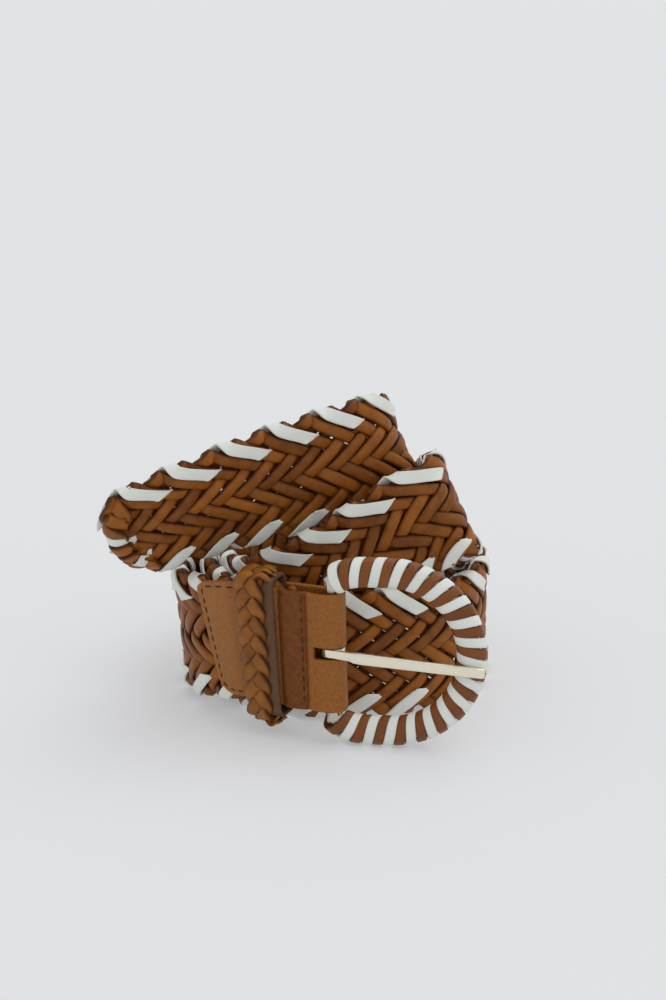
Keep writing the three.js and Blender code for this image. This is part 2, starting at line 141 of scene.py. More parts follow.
@dataclass
class MeshParts:
    """Tubes and bands gathered into one mesh, with a tone and an edge value at each point; the edge value
    places painted shade at strand edges.
    """

    sides: int = 10
    squareness: float = 0.72
    points: list[Array] = field(default_factory=list)
    faces: list[Array] = field(default_factory=list)
    caps: list[Array] = field(default_factory=list)
    tones: list[Array] = field(default_factory=list)
    edges: list[Array] = field(default_factory=list)
    count: int = 0

    def add_tube(self, centres: Array, up: Array, half_width: Varying, half_thickness: Varying,
                 tone: float, closed: bool = False, slant: Varying = 0.0) -> None:
        """Adds a flattened tube along a path.

        Args:
            centres: The path's points.
            up: The direction that the tube's flat side faces at each point.
            half_width: Half the tube's width at each point.
            half_thickness: Half its thickness at each point.
            tone: A value from 0 to 1 that tells this tube from others.
            closed: Whether the tube joins its own start.
            slant: How far each side runs ahead or behind at each point, for a slanted cut.
        """
        n = len(centres)
        tangent = along_path(centres, closed)
        side = unit(np.cross(up, tangent))
        face = unit(np.cross(tangent, side))
        angle = 2 * math.pi * np.arange(self.sides) / self.sides
        across = np.sign(np.cos(angle)) * np.abs(np.cos(angle)) ** self.squareness
        depth = np.sign(np.sin(angle)) * np.abs(np.sin(angle)) ** self.squareness
        width = np.broadcast_to(np.asarray(half_width, float), (n,))
        thickness = np.broadcast_to(np.asarray(half_thickness, float), (n,))
        ahead = np.broadcast_to(np.asarray(slant, float), (n,))
        ring = (centres[:, None, :]
                + side[:, None, :] * (across[None, :, None] * width[:, None, None])
                + face[:, None, :] * (depth[None, :, None] * thickness[:, None, None])
                + tangent[:, None, :] * (across[None, :, None] * ahead[:, None, None]))
        self.points.append(ring.reshape(-1, 3))
        self.tones.append(np.full(n * self.sides, tone))
        # Edge value: 0 along the tube's middle, 1 at its sides, where painted shade darkens the crevices
        # between strands.
        self.edges.append(np.tile(np.abs(across), n))
        rows = n if closed else n - 1
        r = np.arange(rows)[:, None]
        i = np.arange(self.sides)[None, :]
        here, there = r * self.sides, ((r + 1) % n) * self.sides
        j = (i + 1) % self.sides
        quads = np.stack([here + i, here + j, there + j, there + i], -1).reshape(-1, 4)
        self.faces.append(quads + self.count)
        if not closed:
            first = np.arange(self.sides)[::-1]
            last = (n - 1) * self.sides + np.arange(self.sides)
            self.caps.extend([first + self.count, last + self.count])
        self.count += n * self.sides

    def build(self, name: str, material: bpy.types.Material) -> bpy.types.Object:
        """Makes the Blender object.

        Args:
            name: The piece's name.
            material: Its material.

        Returns:
            The new object, linked to the scene.
        """
        quads = np.concatenate(self.faces)
        cap_sizes = np.array([len(cap) for cap in self.caps], int)
        totals = np.concatenate([np.full(len(quads), 4), cap_sizes]).astype(int)
        corners = np.concatenate([quads.ravel(), *self.caps]).astype(np.int32)
        mesh = bpy.data.meshes.new(name)
        mesh.vertices.add(self.count)
        mesh.vertices.foreach_set("co", (np.concatenate(self.points) * MM).ravel().astype(np.float32))
        mesh.loops.add(len(corners))
        mesh.loops.foreach_set("vertex_index", corners)
        mesh.polygons.add(len(totals))
        starts = np.concatenate([[0], np.cumsum(totals)[:-1]]).astype(np.int32)
        mesh.polygons.foreach_set("loop_start", starts)
        mesh.polygons.foreach_set("use_smooth", np.ones(len(totals), bool))
        mesh.update(calc_edges=True)
        mesh.validate()
        # The edge attribute carries the painted crevice shade to the leather colour group.
        for key, values in (("tone", self.tones), ("edge", self.edges)):
            attribute = mesh.attributes.new(key, "FLOAT", "POINT")
            attribute.data.foreach_set("value", np.concatenate(values).astype(np.float32))
        mesh.materials.append(material)
        made = bpy.data.objects.new(name, mesh)
        bpy.context.scene.collection.objects.link(made)
        return made


def place(piece: bpy.types.Object, body: Body, slot: Slot, *stands_for: str) -> None:
    """Puts a piece on its body and hides any frame nodes that it replaces.

    Args:
        piece: The piece.
        body: The body that it rides on.
        slot: The record's material slot; not used.
        stands_for: The frame's nodes that it replaces.
    """
    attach(piece, body.value)
    if stands_for:
        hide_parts(*stands_for)
    log.info("%s rides on %s, %d faces", piece.name, body.value, len(piece.data.polygons))


@dataclass
class NodeBuilder:
    """Adds nodes to a node tree and joins them by socket names."""

    tree: bpy.types.NodeTree

    def add(self, kind: str, **values: object) -> bpy.types.Node:
        """Adds a node and sets its properties or its inputs.

        Args:
            kind: The node's type name.
            values: Properties, or input sockets with spaces written as underscores.

        Returns:
            The node.
        """
        node = self.tree.nodes.new(kind)
        for key, value in values.items():
            name = key.replace("_", " ")
            if name in node.inputs and not hasattr(node, key):
                node.inputs[name].default_value = value
            else:
                setattr(node, key, value)
        return node

    def link(self, source: bpy.types.NodeSocket, target: bpy.types.NodeSocket) -> None:
        """Joins an output to an input."""
        self.tree.links.new(source, target)

    def math(self, operation: str, first: object, second: object) -> bpy.types.NodeSocket:
        """A maths node's output.

        Args:
            operation: The operation's name.
            first: A number or a socket.
            second: A number or a socket.

        Returns:
            The result socket.
        """
        node = self.add("ShaderNodeMath", operation=operation)
        for index, value in enumerate((first, second)):
            if isinstance(value, bpy.types.NodeSocket):
                self.link(value, node.inputs[index])
            else:
                node.inputs[index].default_value = value
        return node.outputs[0]

    def mix(self, factor: bpy.types.NodeSocket, first: bpy.types.NodeSocket,
            second: bpy.types.NodeSocket) -> bpy.types.NodeSocket:
        """A colour mix node's output.

        Args:
            factor: The socket of the second colour's share.
            first: The first colour's socket.
            second: The second colour's socket.

        Returns:
            The mixed colour's socket.
        """
        node = self.add("ShaderNodeMix", data_type="RGBA")
        for index, source in ((MIX_FACTOR, factor), (MIX_FIRST, first), (MIX_SECOND, second)):
            self.link(source, node.inputs[index])
        return node.outputs[MIX_COLOUR]


class ShadingGroups:
    """Shader node groups that several finishes share, each built once."""

    blotch_level: float = 0.35
    # How tightly the painted crevice shade hugs the strand edges.
    edge_shade_sharpness: float = 5.0

    def __init__(self) -> None:
        """Builds the groups."""
        self.colour = self._leather_colour()
        self.grain = self._grain_height()

    @staticmethod
    def _new(name: str, inputs: list[tuple[str, str]], output: tuple[str, str]) -> bpy.types.NodeTree:
        """A new group with its sockets.

        Args:
            name: The group's name.
            inputs: Names and socket types of the inputs.
            output: Name and socket type of the output.

        Returns:
            The node tree.
        """
        tree = bpy.data.node_groups.new(name, "ShaderNodeTree")
        for label, kind in inputs:
            tree.interface.new_socket(label, in_out="INPUT", socket_type=kind)
        tree.interface.new_socket(output[0], in_out="OUTPUT", socket_type=output[1])
        return tree

    def _leather_colour(self) -> bpy.types.NodeTree:
        """Leather colour that differs from strand to strand, has soft blotches and painted shade that
        darkens strand edges, where the crevices between strands fall dark.

        Returns:
            The group's node tree.
        """
        value, colour = "NodeSocketFloat", "NodeSocketColor"
        inputs = [("Base", colour), ("Dark", colour), ("Tone", value), ("Edge", value),
                  ("Blotch Scale", value), ("Blotch", value)]
        tree = self._new("leather_colour", inputs, ("Color", colour))
        nodes = NodeBuilder(tree)
        given = nodes.add("NodeGroupInput").outputs
        position = nodes.add("ShaderNodeTexCoord").outputs["Object"]
        noise = nodes.add("ShaderNodeTexNoise", Detail=4.0, Roughness=0.6)
        nodes.link(position, noise.inputs["Vector"])
        nodes.link(given["Blotch Scale"], noise.inputs["Scale"])
        level = nodes.math("SUBTRACT", noise.outputs[0], self.blotch_level)
        blotch = nodes.math("MULTIPLY", level, given["Blotch"])
        tone = nodes.add("ShaderNodeAttribute", attribute_name="tone").outputs["Fac"]
        tone = nodes.math("MULTIPLY", tone, given["Tone"])
        # Painted shade: darkens each strand toward its edges, standing in for the shade in the crevices
        # between strands.
        edge = nodes.add("ShaderNodeAttribute", attribute_name="edge").outputs["Fac"]
        edge = nodes.math("MULTIPLY", nodes.math("POWER", edge, self.edge_shade_sharpness), given["Edge"])
        total = nodes.math("ADD", nodes.math("ADD", blotch, tone), edge)
        clamp = nodes.add("ShaderNodeClamp")
        nodes.link(total, clamp.inputs[0])
        mixed = nodes.mix(clamp.outputs[0], given["Base"], given["Dark"])
        nodes.link(mixed, nodes.add("NodeGroupOutput").inputs[0])
        return tree

    def _grain_height(self) -> bpy.types.NodeTree:
        """Height of pebbled leather grain with finer wrinkles between the pebbles.

        Returns:
            The group's node tree.
        """
        value = "NodeSocketFloat"
        inputs = [("Pebbles", value), ("Wrinkles", value), ("Wrinkle Share", value)]
        tree = self._new("grain_height", inputs, ("Height", value))
        nodes = NodeBuilder(tree)
        given = nodes.add("NodeGroupInput").outputs
        position = nodes.add("ShaderNodeTexCoord").outputs["Object"]
        cells = nodes.add("ShaderNodeTexVoronoi", feature="SMOOTH_F1", Smoothness=0.6)
        noise = nodes.add("ShaderNodeTexNoise", Detail=5.0, Roughness=0.65)
        nodes.link(position, cells.inputs["Vector"])
        nodes.link(position, noise.inputs["Vector"])
        nodes.link(given["Pebbles"], cells.inputs["Scale"])
        nodes.link(given["Wrinkles"], noise.inputs["Scale"])
        wrinkle = nodes.math("MULTIPLY", noise.outputs[0], given["Wrinkle Share"])
        height = nodes.math("ADD", cells.outputs["Distance"], wrinkle)
        nodes.link(height, nodes.add("NodeGroupOutput").inputs[0])
        return tree


@dataclass(frozen=True)
class LeatherFinish:
    """A leather's colours, gloss and grain."""

    name: str
    base: Colour
    # The colour that random tone, blotches and the painted edge shade mix toward.
    dark: Colour
    roughness: float = 0.5
    tone: float = 0.5
    # Strength of the painted shade at strand edges, standing in for the dark crevices between strands.
    edge: float = 0.6
    blotch: float = 1.0
    blotch_scale: float = 260.0
    pebbles: float = 1500.0
    wrinkles: float = 500.0
    wrinkle_share: float = 0.8
    relief: float = 0.06
    coat: float = 0.0
    coat_roughness: float = 0.3
    specular: float = 0.22

    def material(self, groups: ShadingGroups) -> bpy.types.Material:
        """Makes the material.

        Args:
            groups: The shared node groups.

        Returns:
            The material.
        """
        made = bpy.data.materials.new(self.name)
        made.use_nodes = True
        nodes = NodeBuilder(made.node_tree)
        shader = made.node_tree.nodes["Principled BSDF"]
        shader.inputs["Roughness"].default_value = self.roughness
        shader.inputs["Specular IOR Level"].default_value = self.specular
        shader.inputs["Coat Weight"].default_value = self.coat
        shader.inputs["Coat Roughness"].default_value = self.coat_roughness
        colour = nodes.add("ShaderNodeGroup", node_tree=groups.colour)
        for label, value in (("Base", (*self.base, 1)), ("Dark", (*self.dark, 1)),
                             ("Tone", self.tone), ("Edge", self.edge),
                             ("Blotch Scale", self.blotch_scale), ("Blotch", self.blotch)):
            colour.inputs[label].default_value = value
        grain = nodes.add("ShaderNodeGroup", node_tree=groups.grain)
        for label, value in (("Pebbles", self.pebbles), ("Wrinkles", self.wrinkles),
                             ("Wrinkle Share", self.wrinkle_share)):
            grain.inputs[label].default_value = value
        bump = nodes.add("ShaderNodeBump", Strength=1.0, Distance=self.relief * MM)
        nodes.link(grain.outputs["Height"], bump.inputs["Height"])
        nodes.link(bump.outputs["Normal"], shader.inputs["Normal"])
        nodes.link(colour.outputs["Color"], shader.inputs["Base Color"])
        return made


@dataclass(frozen=True)
class MetalFinish:
    """A metal's colour and polish, with fine scratches."""

    name: str
    colour: Colour
    roughness: float = 0.2
    scratch_scale: float = 900.0
    unevenness: float = 0.16

    def material(self) -> bpy.types.Material:
        """Makes the material.

        Returns:
            The material.
        """
        made = bpy.data.materials.new(self.name)
        made.use_nodes = True
        nodes = NodeBuilder(made.node_tree)
        shader = made.node_tree.nodes["Principled BSDF"]
        shader.inputs["Base Color"].default_value = (*self.colour, 1)
        shader.inputs["Metallic"].default_value = 1.0
        noise = nodes.add("ShaderNodeTexNoise", Scale=self.scratch_scale, Detail=3.0)
        nodes.link(nodes.add("ShaderNodeTexCoord").outputs["Object"], noise.inputs["Vector"])
        spread = nodes.math("MULTIPLY", noise.outputs[0], self.unevenness)
        smoothest = self.roughness - self.unevenness / 2
        nodes.link(nodes.math("ADD", spread, smoothest), shader.inputs["Roughness"])
        return made


# Each finish's edge value sets how far painted shade darkens its strand edges; the tab and fold have none.
TAN_STRAND = LeatherFinish(
    "tan_strand", (0.37, 0.117, 0.011), (0.075, 0.018, 0.0015),
    roughness=0.42, coat=0.04, tone=0.45, edge=0.9, specular=0.19)
WHITE_LACE = LeatherFinish(
    "white_lace", (0.80, 0.82, 0.76), (0.55, 0.55, 0.50),
    roughness=0.45, tone=0.08, edge=0.35, blotch=0.15, relief=0.03)
TAN_LACE = LeatherFinish(
    "tan_lace", (0.25, 0.075, 0.009), (0.09, 0.022, 0.003),
    roughness=0.3, coat=0.18, tone=0.35, edge=0.5, blotch=0.5)
# The tab's tone sets how dark its end by the fold gets: partly darker leather, partly painted shade.
TAB_LEATHER = LeatherFinish(
    "tab_leather", (0.36, 0.145, 0.042), (0.13, 0.035, 0.003),
    roughness=0.5, tone=0.75, edge=0, blotch=0.7, blotch_scale=700, relief=0.07, specular=0.17)
FOLD_LEATHER = LeatherFinish(
    "fold_leather", (0.34, 0.121, 0.016), (0.15, 0.043, 0.004),
    roughness=0.42, tone=0, edge=0, blotch=1.5, blotch_scale=1100, pebbles=1500, relief=0.22, coat=0.1)
LOOP_LEATHER = LeatherFinish(
    "loop_leather", (0.36, 0.126, 0.013), (0.065, 0.017, 0.002),
    roughness=0.42, coat=0.07, tone=0.35, edge=0.95)
LINING_LEATHER = LeatherFinish(
    "loop_lining", (0.15, 0.075, 0.038), (0.06, 0.026, 0.012),
    roughness=0.7, tone=0, edge=0.4, pebbles=1100, relief=0.2)
THREAD = LeatherFinish(
    "thread", (0.085, 0.035, 0.015), (0.03, 0.012, 0.006), roughness=0.8, tone=0.3, edge=0.2)
PRONG_METAL = MetalFinish("pale_gold", (0.88, 0.81, 0.66), roughness=0.3)
RING_METAL = MetalFinish("ring_steel", (0.60, 0.56, 0.48), roughness=0.3)


@dataclass(frozen=True)
class StrapSizes:
    """The strap's sizes and the route of its middle line, as rows of shares of the roll's size."""

    width: float = 40.0
    thickness: float = 4.5
    length: float = 784.0
    easing: float = 1.4
    tip_taper: float = 19.0
    tip_fullness: float = 2.6
    tip_blunt: float = 0.02
    easing_share: float = 0.7
    layer_gap: float = 0.5
    roll_width: float = 95.0
    roll_depth: float = 88.0
    roll_middle: float = 45.0
    start: float = 9.9
    ring_step: float = 3.4
    steps_per_row: int = 24


# Buckle run: across, back, rise, lean left, lean back, spread.
BUCKLE_RUN = (
    (0.153, -0.278, 0.725, -0.06, 0.03, 1), (0, -0.193, 0.715, -0.06, 0.03, 1),
    (-0.147, -0.117, 0.705, -0.05, 0, 1), (-0.289, -0.04, 0.682, -0.03, -0.07, 1),
)

# Roll: turn in degrees from the left end by way of the back, reach, rise, lean left, lean back, spread.
ROLL = (
    (-49, 1.212, 0.63, -0.05, -0.2, 1), (-32, 1.112, 0.545, -0.09, -0.16, 1),
    (-9, 0.968, 0.512, -0.07, -0.05, 1),
    (21, 0.964, 0.505, -0.04, 0, 1), (55, 0.998, 0.5, 0, 0, 1), (90, 1.04, 0.5, 0, 0, 1),
    (123, 1.041, 0.5, 0, 0, 1), (156, 1.04, 0.5, 0, 0, 1), (189, 1.078, 0.5, 0, 0, 1),
    (219, 1.142, 0.5, 0, 0.02, 1), (244, 1.102, 0.5, 0, 0.05, 1), (268, 1.074, 0.5, 0, 0.06, 1),
    (291, 1.075, 0.5, 0, 0.06, 1), (314, 1.036, 0.5, 0, 0.02, 1), (344, 0.962, 0.5, -0.05, 0, 1),
    (377, 0.918, 0.5, -0.03, 0, 1), (414, 0.92, 0.575, -0.1, 0.1, 1), (455, 0.931, 0.762, -0.25, 0.2, 1),
    (494, 0.947, 0.975, -0.33, 0.3, 0.97), (526, 0.87, 1.17, -0.38, 0.4, 0.92),
    (556, 0.889, 1.373, -0.38, 0.36, 0.88), (572, 1.099, 1.538, -0.4, 0.26, 0.85),
    (584, 1.194, 1.552, -0.42, 0, 0.85), (595, 1.082, 1.46, -0.43, -0.2, 0.88),
    (611, 1.002, 1.218, -0.45, -0.2, 0.95), (627, 0.976, 1, -0.47, -0.15, 1),
    (649, 0.981, 0.78, -0.4, -0.05, 1),
    (673, 0.932, 0.6, -0.25, 0, 1), (702, 0.897, 0.55, -0.15, 0, 1), (733, 0.82, 0.625, -0.2, 0.1, 1),
    (775, 0.728, 0.85, -0.3, 0.3, 1), (822, 0.632, 1.2, -0.4, 0.38, 1),
    (882, 0.641, 1.57, -0.42, 0.4, 0.96),
    (925, 0.832, 1.845, -0.44, 0.3, 0.94), (956, 0.874, 1.9, -0.36, 0, 0.95),
)

# Free end: across, layers before it, rise, lean left, lean back, spread.
FREE_END = (
    (-0.021, 3.4, 1.835, -0.33, -0.2, 0.96), (-0.179, 2.6, 1.765, -0.33, -0.33, 0.96),
    (-0.326, 1.66, 1.677, -0.32, -0.42, 0.96), (-0.474, 1.3, 1.56, -0.31, -0.48, 0.95),
    (-0.621, 1, 1.432, -0.3, -0.5, 0.94), (-0.768, 0.7, 1.295, -0.3, -0.5, 0.9),
    (-0.916, 0.4, 1.155, -0.3, -0.5, 0.86),
)


class Route:
    """The strap's middle line by length, with the directions beside it."""

    def __init__(self, sizes: StrapSizes) -> None:
        """Samples the route and moves it to where the frame's strap stands.

        Args:
            sizes: The strap's sizes.
        """
        self.sizes = sizes
        self.samples = self._sample(self._rows())
        steps = np.linalg.norm(np.diff(self.samples[:, :3], axis=0), axis=1)
        self.lengths = np.concatenate([[0], np.cumsum(steps)])
        self.tangents = along_path(self.samples[:, :3])
        corner = self._strap_points().reshape(-1, 3).min(0)
        self.samples[:, :3] += np.array(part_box("braided_strap")[0]) / MM - corner

    def _rows(self) -> Array:
        """The control rows.

        Returns:
            Places, leans and spreads, one row each.
        """
        s = self.sizes
        pitch = s.thickness + s.layer_gap
        rows = [(a * s.roll_width, b * s.roll_depth, rise * s.width, *rest)
                for a, b, rise, *rest in BUCKLE_RUN]
        for turn, reach, rise, *rest in ROLL:
            angle = math.radians(turn)
            inset = pitch * turn / 360
            across = -math.cos(angle) * (s.roll_width / 2 * reach - inset)
            back = s.roll_middle + math.sin(angle) * (s.roll_depth / 2 * reach - inset)
            rows.append((across, back, rise * s.width, *rest))
        rows += [(a * s.roll_width, b * pitch, rise * s.width, *rest) for a, b, rise, *rest in FREE_END]
        return np.array(rows, float)

    def _sample(self, rows: Array) -> Array:
        """A uniform cubic B-spline through the control rows.

        Args:
            rows: The control rows.

        Returns:
            Closely sampled rows.
        """
        u = (np.arange(self.sizes.steps_per_row) / self.sizes.steps_per_row)[:, None]
        weights = ((1 - u) ** 3, 3 * u ** 3 - 6 * u * u + 4, -3 * u ** 3 + 3 * u * u + 3 * u + 1, u ** 3)
        return np.concatenate([sum(w / 6 * rows[i - 1 + j] for j, w in enumerate(weights))
                               for i in range(1, len(rows) - 2)])

    def _strap_points(self) -> Array:
        """The plain strap's own surface points, to find its place by.

        Returns:
            The points of each section.
        """
        s = self.sizes
        h, t = s.width / 2, s.thickness / 2
        edge = min(s.easing, t * s.easing_share)
        section = np.array([(-h + s.easing, -t), (h - s.easing, -t), (h, -t + edge), (h, t - edge),
                            (h - s.easing, t), (-h + s.easing, t), (-h, t - edge), (-h, -t + edge)])
        across, out = section.T[:, None, :]
        count = round((s.length - s.start) / s.ring_step)
        lengths = np.linspace(s.start, s.length, count + 1)[:, None]
        return self.beside(lengths, across * self.share(lengths), out)

    def at(self, length: Varying) -> tuple[Array, Array, Array, Array, Array]:
        """The route at some lengths.

        Args:
            length: Lengths from the buckle's bar.

        Returns:
            Middle point, direction along, direction to the top edge, outward direction and spread.
        """
        wanted = np.asarray(length, float)
        inside = np.clip(wanted, 0, self.lengths[-1])
        row = np.stack([np.interp(inside, self.lengths, c) for c in self.samples.T], -1)
        along = unit(np.stack([np.interp(inside, self.lengths, c) for c in self.tangents.T], -1))
        middle = row[..., :3] + along * (wanted - inside)[..., None]
        left, back = row[..., 3], row[..., 4]
        top = np.stack([left, back, np.sqrt(1 - left ** 2 - back ** 2)], -1)
        top = unit(top - along * np.sum(top * along, -1, keepdims=True))
        return middle, along, top, unit(np.cross(top, along)), row[..., 5]

    def share(self, length: Array) -> Array:
        """Share of the full width at some lengths, less toward the rounded free end.

        Args:
            length: Lengths from the buckle's bar.

        Returns:
            The shares.
        """
        s = self.sizes
        distance = np.maximum(s.length - np.asarray(length, float), s.tip_blunt * s.tip_taper)
        rest = np.clip(1 - distance / s.tip_taper, 0, 1)
        return self.at(length)[4] * (1 - rest ** s.tip_fullness) ** (1 / s.tip_fullness)

    def beside(self, length: Array, height: Array, out: Array) -> Array:
        """Points beside the middle line.

        Args:
            length: Lengths from the buckle's bar.
            height: Distances toward the top edge.
            out: Distances outward.

        Returns:
            The points.
        """
        length, height, out = np.broadcast_arrays(length, height, out)
        middle, _, top, outward, _ = self.at(length)
        return middle + top * height[..., None] + outward * out[..., None]


@dataclass
class BraidedStrap:
    """The flat herringbone braid, its white edge lace and its plaited tip."""

    route: Route
    columns: int = 13
    half_run: float = 17.9
    advance: float = 3.65
    strand_half_width: float = 2.02
    strand_half_thickness: float = 0.98
    wave: float = 1.22
    wave_flatness: float = 1.9
    columns_over: int = 3
    edge_turn: float = 0.45
    edge_tuck: float = 0.985
    jog: float = 0.22
    end_taper: float = 0.6
    steps_per_column: int = 4
    fewest_points: int = 6
    first: float = 10.4
    last: float = 782.6
    lace_pitch: float = 14.6
    lace_start: float = 9.6
    lace_end: float = 17.0
    lace_crossing: float = 7.8
    lace_clearance: float = 0.25
    lace_jog: float = 0.3
    lace_half_width: float = 1.95
    lace_half_thickness: float = 0.36
    tip_inset: float = 1.6
    tip_centre: float = 13.5
    tip_radius: float = 13.2
    tip_narrowing: float = 0.96
    tip_slant: float = 3.4
    tip_facing: float = 5.0

    def _strand(self, family: Family, start: float, rng: np.random.Generator) -> tuple[Array, Array] | None:
        """One strand from edge to edge.

        Args:
            family: Which way the strand crosses.
            start: Length at which it leaves the top edge's line.
            rng: Random draws.

        Returns:
            Its middle points and facing directions, or None where the strap has ended.
        """
        column = np.arange(self.columns * self.steps_per_column + 1) / self.steps_per_column
        column = np.concatenate([[-self.edge_turn], column, [self.columns + self.edge_turn]])
        jog = rng.uniform(-self.jog, self.jog)
        lift = rng.uniform(0.93, 1.06)
        phase = np.sin(math.pi * (column - 0.5) / self.columns_over) * family.value
        out = self.wave * lift * np.tanh(self.wave_flatness * phase) / math.tanh(self.wave_flatness)
        out[[0, -1]] = 0
        height = (self.columns / 2 - column) * 2 * self.half_run / self.columns
        height[[0, -1]] *= self.edge_tuck
        length = start + jog - family.value * self.advance * column
        inside = (length > self.first) & (length < self.last)
        if inside.sum() < self.fewest_points:
            return None
        length, height, out = length[inside], height[inside], out[inside]
        share = self.route.share(length)
        return self.route.beside(length, height * share, out), self.route.at(length)[3]

    def _braid(self, family: Family, material: bpy.types.Material) -> bpy.types.Object:
        """All strands that cross one way.

        Args:
            family: Which way they cross.
            material: Their leather.

        Returns:
            The joined piece.
        """
        rng = np.random.default_rng(SEED + family.value)
        parts = MeshParts(sides=10, squareness=0.8)
        span = self.columns * self.advance
        offset = span + self.advance if family is Family.RISING else 0
        for start in np.arange(-span + offset, self.route.sizes.length + offset, 2 * self.advance):
            strand = self._strand(family, start, rng)
            tone = rng.uniform()
            wide = rng.uniform(0.95, 1.05)
            if strand is None:
                continue
            centres, up = strand
            taper = np.ones(len(centres))
            taper[[0, -1]] = self.end_taper
            parts.add_tube(centres, up, self.strand_half_width * wide * taper,
                           self.strand_half_thickness * taper, tone)
        return parts.build(f"braid_{family.name.lower()}", material)

    def _edge_lace(self, side: int, name: str, material: bpy.types.Material) -> bpy.types.Object:
        """The lace whipped round one edge of the strap.

        Args:
            side: 1 for the top edge, -1 for the lower one.
            name: The piece's name.
            material: The lace's leather.

        Returns:
            The joined piece.
        """
        rng = np.random.default_rng(LACE_SEED + side)
        edge = self.route.sizes.width / 2 - self.lace_half_thickness
        proud = self.strand_half_thickness + self.wave + self.lace_clearance
        # One stitch: length, height, out, its face's turn in degrees, share of width, slant of its cut.
        half = ((-2.4, edge - 7.5, proud - 0.45, 0, 0.95, 2.0), (-1.6, edge - 6.9, proud - 0.08, 0, 1, 2.0),
                (-0.2, edge - 5.9, proud + 0.08, 0, 1, 1.6), (1.8, edge - 4.5, proud + 0.12, 0, 1, 0.8),
                (4.0, edge - 3.0, proud + 0.08, 4, 1, 0.2), (6.6, edge - 1.0, proud - 0.35, 25, 1, 0),
                (7.4, edge - 0.2, proud - 1.3, 60, 1, 0))
        middle = (self.lace_crossing, edge, 0, 90, 1, 0)
        back = [(2 * self.lace_crossing - a, b, -c, 180 - d, *rest) for a, b, c, d, *rest in reversed(half)]
        rows = smooth_through(np.array([*half, middle, *back], float), 4)
        parts = MeshParts(sides=12, squareness=0.38)
        for start in np.arange(self.first + self.lace_start, self.last - self.lace_end, self.lace_pitch):
            length = start + rows[:, 0] + rng.uniform(-self.lace_jog, self.lace_jog)
            share = self.route.share(length)
            height = side * rows[:, 1] * share
            centres = self.route.beside(length, height, rows[:, 2])
            _, _, top, out, _ = self.route.at(length)
            turn = np.radians(rows[:, 3])[:, None]
            up = np.cos(turn) * out + np.sin(turn) * side * top
            parts.add_tube(centres, up, self.lace_half_width * rows[:, 4], self.lace_half_thickness,
                           rng.uniform(), slant=side * rows[:, 5])
        return parts.build(name, material)

    def _tip(self, name: str, angles: Array, reach: float, width: float, thickness: float,
             material: bpy.types.Material) -> bpy.types.Object:
        """Strips that run from the front round the rounded tip to the back.

        Args:
            name: The piece's name.
            angles: Where on the tip each strip crosses, in degrees up from the tip's point.
            reach: How far in each strip starts and ends.
            width: Half the width of a strip.
            thickness: Half its thickness.
            material: Its leather.

        Returns:
            The joined piece.
        """
        rng = np.random.default_rng(TIP_SEED)
        parts = MeshParts(sides=12, squareness=0.6)
        tip = self.route.sizes.length
        half = self.route.sizes.width / 2 - self.tip_inset
        for degrees in angles:
            angle = math.radians(degrees)
            away = np.array([math.cos(angle), math.sin(angle)])
            slant = np.array([-away[1], away[0]]) * rng.uniform(-self.tip_slant, self.tip_slant)
            proud = rng.uniform(2.1, 2.7)
            # One strip over the tip: inset from the rim, out, share of its width.
            strip = ((reach, 0.9, 0.75), (reach * 0.75, proud, 0.9), (3.0, proud + 0.1, 1), (0.9, 1.5, 1),
                     (0.2, 0, 1), (0.9, -1.5, 1), (3.0, -proud, 1), (reach * 0.75, -proud, 0.9),
                     (reach, -0.9, 0.75))
            rows = []
            for inset, out, wide in strip:
                sway = slant * (inset / reach) * np.sign(out)
                length = tip - self.tip_centre + (self.tip_radius - inset) * away[0] + sway[0]
                height = (half - inset) * away[1] * self.tip_narrowing + sway[1]
                rows.append((length, height, out, wide))
            curve = smooth_through(np.array(rows), 4)
            spread = self.route.at(curve[:, 0])[4]
            lengths, heights = curve[:, 0], curve[:, 1] * spread
            centres = self.route.beside(lengths, heights, curve[:, 2])
            inward = self.tip_facing * away
            middle = self.route.beside(lengths - inward[0], heights - inward[1], 0)
            parts.add_tube(centres, unit(centres - middle), width * curve[:, 3], thickness, rng.uniform())
        return parts.build(name, material)

    def build(self, strand: bpy.types.Material, lace: bpy.types.Material) -> None:
        """Builds and places the strap's pieces.

        Args:
            strand: The braid's leather.
            lace: The edge lace's leather.
        """
        place(self._braid(Family.RISING, strand), Body.BELT, Slot.BRAID, "braided_strap")
        place(self._braid(Family.FALLING, strand), Body.BELT, Slot.BRAID)
        tan_angles = np.array([62, 40, 24, -12, -30, -72])
        white_angles = np.array([6, -50])
        ends = self._tip("tip_ends", tan_angles, reach=7.5, width=2.3, thickness=0.75, material=strand)
        place(ends, Body.BELT, Slot.BRAID)
        stitches = self._tip("tip_lace", white_angles, reach=8.5, width=1.9, thickness=0.36, material=lace)
        place(stitches, Body.BELT, Slot.LACE)
        place(self._edge_lace(1, "edge_lace_top", lace), Body.BELT, Slot.LACE)
        place(self._edge_lace(-1, "edge_lace_lower", lace), Body.BELT, Slot.LACE)


